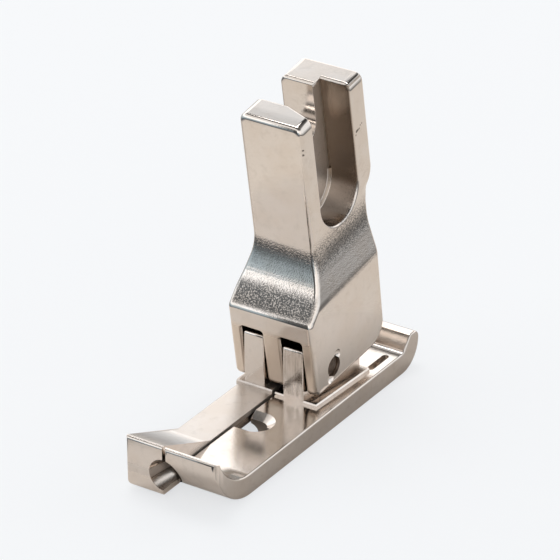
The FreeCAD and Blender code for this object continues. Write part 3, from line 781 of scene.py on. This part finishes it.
class FootStudio(bpy.types.PropertyGroup):
    """Floor, lamp, background and camera."""

    floor: FloatVectorProperty(
        name="Floor",
        description="Colour of the floor as the foot reflects it",
        default=(0.90, 0.85, 0.80),
        subtype="COLOR",
        min=0.0,
        max=1.0,
    )
    # Painted contact shadow on the floor beside the right sole, seen only by reflections and bounced
    # light
    floor_painted_shadow: FloatVectorProperty(
        name="Floor beside the foot",
        description="Darker colour of the floor that the right side reflects close by",
        default=(0.3, 0.28, 0.26),
        subtype="COLOR",
        min=0.0,
        max=1.0,
    )
    floor_shade: FloatVectorProperty(
        name="Floor in view",
        description="Colour of the floor where the camera sees it, which sets how deep shadows are",
        default=(0.25, 0.25, 0.25),
        subtype="COLOR",
        min=0.0,
        max=1.0,
    )
    floor_glow: FloatVectorProperty(
        name="Floor glow",
        description="Colour that is added to the floor where the camera sees it",
        default=(0.962, 0.979, 1.0),
        subtype="COLOR",
        min=0.0,
        max=1.0,
    )
    glow: FloatProperty(
        name="Glow",
        description="Strength of that added colour",
        default=0.68,
        subtype="FACTOR",
        min=0.0,
        max=1.0,
    )
    table: FloatProperty(
        name="Table",
        description="Distance up to which metal reflects the floor and not the studio",
        default=0.027,
        unit="LENGTH",
    )
    backdrop: FloatVectorProperty(
        name="Backdrop",
        description="Colour of the background behind the floor",
        default=(0.922, 0.939, 0.956),
        subtype="COLOR",
        min=0.0,
        max=1.0,
    )
    gap: FloatVectorProperty(
        name="Gap",
        description="Level that metal reflects between the soft panels",
        default=(0.06, 0.06, 0.06),
        subtype="COLOR",
        min=0.0,
        max=1.0,
    )
    fill: FloatProperty(
        name="Top light",
        description="Power of the lamp overhead",
        default=1.3,
        unit="POWER",
        min=0.0,
    )
    azimuth: FloatProperty(
        name="Azimuth",
        description="Camera's angle round the foot, from its toe towards its right",
        default=math.radians(33.6),
        subtype="ANGLE",
    )
    elevation: FloatProperty(
        name="Elevation",
        description="Camera's angle above the floor",
        default=math.radians(28.2),
        subtype="ANGLE",
    )
    roll: FloatProperty(
        name="Roll",
        description="Camera's turn about its own line of sight",
        default=math.radians(-0.6),
        subtype="ANGLE",
    )
    eye: FloatVectorProperty(
        name="Eye",
        description="Camera's place",
        default=(0.18895, -0.28310, 0.19800),
        subtype="TRANSLATION",
        unit="LENGTH",
    )
    lens: FloatProperty(
        name="Focal length",
        description="Camera's focal length in millimetres",
        default=FOCAL_PIXELS / PHOTO_WIDTH * SENSOR_WIDTH,
        unit="CAMERA",
    )


# Operators


class FOOT_OT_shank(bpy.types.Operator):
    """Finishes the shank"""

    bl_idname = "foot.shank"
    bl_label = "Shank"

    def execute(self, context):
        looks = context.scene.foot_looks
        piece = merged_copy("shank", "shank_body")
        reshaped_shank(piece, looks)
        shaded(piece)
        dressed(piece, casting_nickel(looks), "shank", "shank")
        return {"FINISHED"}


class FOOT_OT_soles(bpy.types.Operator):
    """Finishes the two soles"""

    bl_idname = "foot.soles"
    bl_label = "Soles"

    def execute(self, context):
        material = sole_nickel(context.scene.foot_looks)
        for sole in ("left_sole", "right_sole"):
            piece = merged_copy(sole, sole + "_plate")
            shaded(piece)
            dressed(piece, material, sole, sole)
        return {"FINISHED"}


class FOOT_OT_pin(bpy.types.Operator):
    """Finishes the pivot pin"""

    bl_idname = "foot.pin"
    bl_label = "Pivot pin"

    def execute(self, context):
        piece = merged_copy("pivot_pin", "pivot_pin_body")
        shaded(piece)
        material = dark_steel(context.scene.foot_looks)
        dressed(piece, material, "shank", "pivot_pin")
        return {"FINISHED"}


class FOOT_OT_springs(bpy.types.Operator):
    """Finishes the two springs"""

    bl_idname = "foot.springs"
    bl_label = "Springs"

    def execute(self, context):
        material = bright_wire(context.scene.foot_looks)
        for spring in ("left_spring", "right_spring"):
            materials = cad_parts[spring].data.materials
            materials.clear()
            materials.append(material)
        return {"FINISHED"}


class FOOT_OT_stage(bpy.types.Operator):
    """Lays the floor and sets the lamp, the world and the camera"""

    bl_idname = "foot.stage"
    bl_label = "Studio"

    def execute(self, context):
        studio = context.scene.foot_studio
        lay_floor(studio)
        set_world(studio)
        set_lamp(studio)
        set_camera(studio)
        context.scene.view_settings.view_transform = "Standard"
        return {"FINISHED"}


def lay_floor(studio):
    """Lays the floor that the foot stands on."""
    deselect()
    bpy.ops.mesh.primitive_grid_add(x_subdivisions=4, y_subdivisions=4, size=FLOOR_SIDE)
    floor = bpy.context.object
    floor.name = "studio_floor"
    floor.data.materials.append(studio_floor(studio))


def set_world(studio):
    """Surroundings of the studio by direction; the camera sees only the backdrop."""
    world = bpy.data.worlds.new("studio_room")
    bpy.context.scene.world = world
    world.use_nodes = True
    f = Finish("studio_room", world.node_tree)
    x, y, z = f.split(f.node("ShaderNodeTexCoord", output=0))
    level = wall_level(f, z, OTHER_LEVELS)
    for across, back, levels in WALLS:
        towards = across * x + back * y
        level = f.mix(f.step(towards, *WALL_BLEND), level, wall_level(f, z, levels))

    # Dark gaps between the panels, one in front and one behind
    front = f.step(x, -0.475, -0.44) * f.step(x, 0.20, 0.12) * f.step(y, 0.0, -0.2)
    front = front * f.step(z, -0.42, -0.30) * f.step(z, 0.56, 0.46)
    behind = f.step(x, -0.42, -0.34) * f.step(x, 0.12, 0.02) * f.step(y, 0.3, 0.5)
    behind = behind * f.step(z, 0.35, 0.5)
    level = f.mix(0.95 * front.most(behind), level, dimmed(studio.gap))
    level = f.mix(f.seen_by("Is Camera Ray"), level, dimmed(studio.backdrop))
    inputs = {"Color": level, "Strength": ROOM_STRENGTH}
    f.node("ShaderNodeOutputWorld", inputs={0: f.node("ShaderNodeBackground", inputs=inputs)})


def dimmed(colour):
    """A colour divided by the room's strength, which brings it back."""
    return tuple(value / ROOM_STRENGTH for value in colour)


def wall_level(f, height, levels):
    """A wall's level by the height of a direction, divided by the room's strength."""
    stops = []
    for elevation, level in levels:
        colour = level if isinstance(level, tuple) else (level, level, level)
        place = 0.5 + 0.5 * math.sin(math.radians(elevation))
        stops.append((place, dimmed(colour)))
    return f.ramp(height * 0.5 + 0.5, stops)


def set_lamp(studio):
    """Hangs the soft square lamp over the foot."""
    light = bpy.data.lights.new("top_light", "AREA")
    light.shape = "RECTANGLE"
    light.size = light.size_y = LAMP_SIDE
    light.energy = studio.fill
    lamp = bpy.data.objects.new("top_light", light)
    bpy.context.scene.collection.objects.link(lamp)
    lamp.location = LAMP_PLACE
    lamp.rotation_mode = "QUATERNION"
    aim = Vector(LAMP_TARGET) - Vector(LAMP_PLACE)
    lamp.rotation_quaternion = aim.to_track_quat("-Z", "Y")


def set_camera(studio):
    """Sets the camera at the photograph's viewing angle."""
    turn, lift, roll = studio.azimuth, studio.elevation, studio.roll
    back = Vector(
        (
            math.sin(turn) * math.cos(lift),
            -math.cos(turn) * math.cos(lift),
            math.sin(lift),
        )
    )
    level = Vector((math.cos(turn), math.sin(turn), 0.0))
    upright = back.cross(level)
    right = math.cos(roll) * level + math.sin(roll) * upright
    up = -math.sin(roll) * level + math.cos(roll) * upright
    data = bpy.data.cameras.new("photo_camera")
    data.lens = studio.lens
    data.sensor_width = SENSOR_WIDTH
    data.clip_start, data.clip_end = 0.01, 10.0
    camera = bpy.data.objects.new("photo_camera", data)
    bpy.context.scene.collection.objects.link(camera)
    camera.matrix_world = Matrix(
        (
            (right.x, up.x, back.x, studio.eye[0]),
            (right.y, up.y, back.y, studio.eye[1]),
            (right.z, up.z, back.z, studio.eye[2]),
            (0, 0, 0, 1),
        )
    )
    bpy.context.scene.camera = camera


class FOOT_PT_panel(bpy.types.Panel):
    """Lists the steps that make the foot"""

    bl_idname = "FOOT_PT_panel"
    bl_label = "Presser Foot"
    bl_space_type = "VIEW_3D"
    bl_region_type = "UI"
    bl_category = "Presser Foot"

    def draw(self, context):
        column = self.layout.column()
        for step in STEPS:
            column.operator(step.bl_idname)
        for group in (context.scene.foot_looks, context.scene.foot_studio):
            for key in group.__annotations__:
                column.prop(group, key)


STEPS = (FOOT_OT_shank, FOOT_OT_soles, FOOT_OT_pin, FOOT_OT_springs, FOOT_OT_stage)
CLASSES = (FootLooks, FootStudio, *STEPS, FOOT_PT_panel)


def register():
    for made in CLASSES:
        bpy.utils.register_class(made)
    bpy.types.Scene.foot_looks = PointerProperty(type=FootLooks)
    bpy.types.Scene.foot_studio = PointerProperty(type=FootStudio)


def unregister():
    del bpy.types.Scene.foot_looks
    del bpy.types.Scene.foot_studio
    for made in reversed(CLASSES):
        bpy.utils.unregister_class(made)


def main():
    register()
    bpy.ops.foot.shank()
    bpy.ops.foot.soles()
    bpy.ops.foot.pin()
    bpy.ops.foot.springs()
    bpy.ops.foot.stage()


if __name__ == "__main__":
    main()
